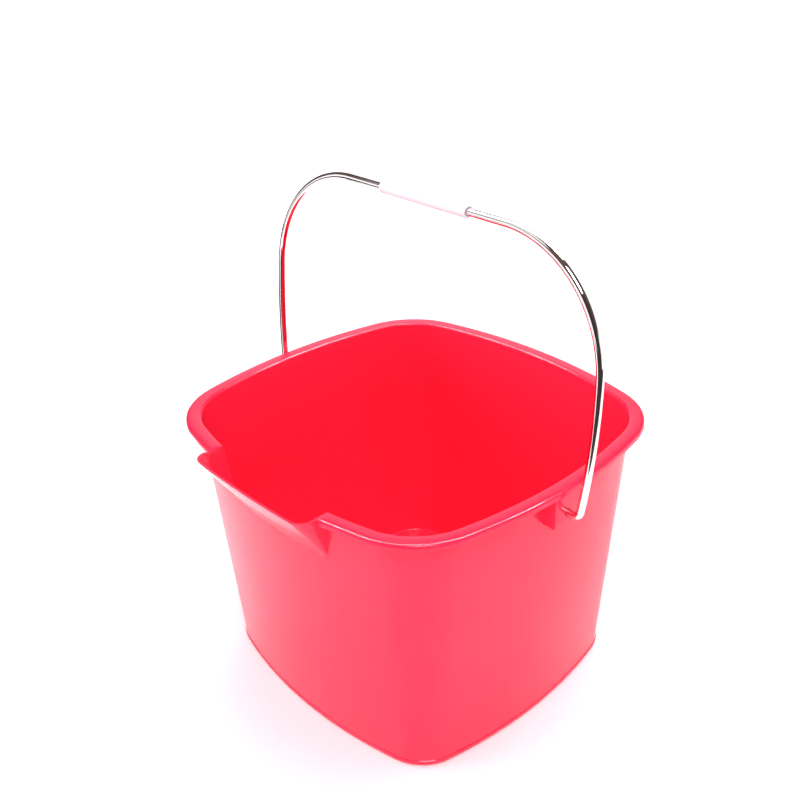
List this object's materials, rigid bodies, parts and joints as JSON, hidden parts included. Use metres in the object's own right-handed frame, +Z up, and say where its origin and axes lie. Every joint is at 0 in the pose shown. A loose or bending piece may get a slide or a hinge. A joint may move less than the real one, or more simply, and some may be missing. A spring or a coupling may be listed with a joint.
{
  "type": "wash bucket",
  "caption": "Bowed-square open bucket with an outturned rim, a pouring lip on one side, and a bent wire bail with a turning hand grip, hinged in box ears under the rim.",
  "frame": {"origin": "middle of the bucket's flat base, on the floor", "axes": "+Z up; +X from the middle towards one ear, along the bail's pivot line; the pouring lip is on the -Y side"},
  "size_m": [0.3076, 0.2795, 0.3478],
  "materials": {
    "bucket_plastic": "injection-moulded red polypropylene, glossy",
    "bail_wire": "bright chrome plate on round steel wire",
    "grip_plastic": "white extruded plastic sleeve, satin"
  },
  "bodies": {
    "bucket": {"bucket": "bucket_plastic"},
    "bail": {"bail": "bail_wire"},
    "grip": {"grip": "grip_plastic"}
  },
  "joints": [
    {"name": "bail_swing", "type": "hinge", "parent": "bucket", "child": "bail", "pos_m": [0, 0, 0.1765], "axis": [1, 0, 0], "range_deg": [-129.1, 138.8]},
    {"name": "grip_turn", "type": "hinge", "parent": "bail", "child": "grip", "pos_m": [0, 0.01417, 0.3435], "axis": [1, 0, 0], "continuous": true}
  ]
}
